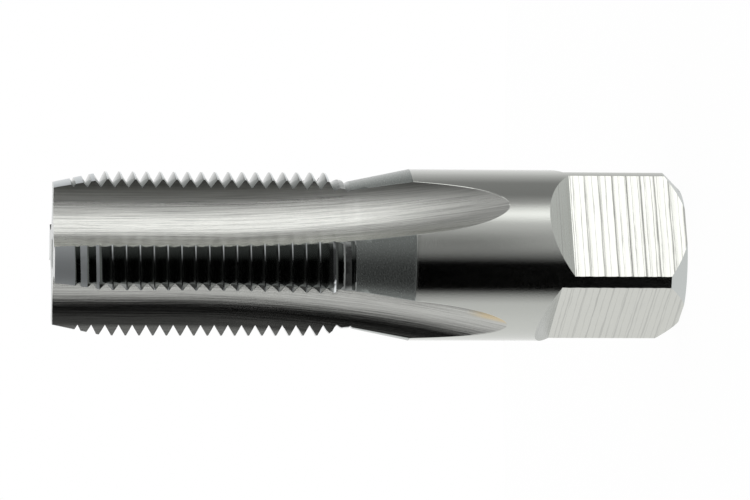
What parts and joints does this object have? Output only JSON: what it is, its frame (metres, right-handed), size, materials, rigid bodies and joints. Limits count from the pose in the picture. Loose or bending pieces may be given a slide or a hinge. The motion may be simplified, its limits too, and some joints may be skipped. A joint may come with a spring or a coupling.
{
  "type": "thread tap",
  "caption": "Straight pipe tap of bright tool steel, with threaded lands between straight flutes, a plain round shank and a square driving end.",
  "frame": {"origin": "middle of the driving end face, which the tap stands on", "axes": "+Z along the axis of the tap from the driving end to the cutting face, with the flutes centred on +X, +Y, -X and -Y"},
  "size_m": [0.0178, 0.0178, 0.0651],
  "materials": {
    "tool_steel": "bright ground high-speed steel, uncoated"
  },
  "bodies": {
    "root": {"tap": "tool_steel"}
  },
  "joints": []
}
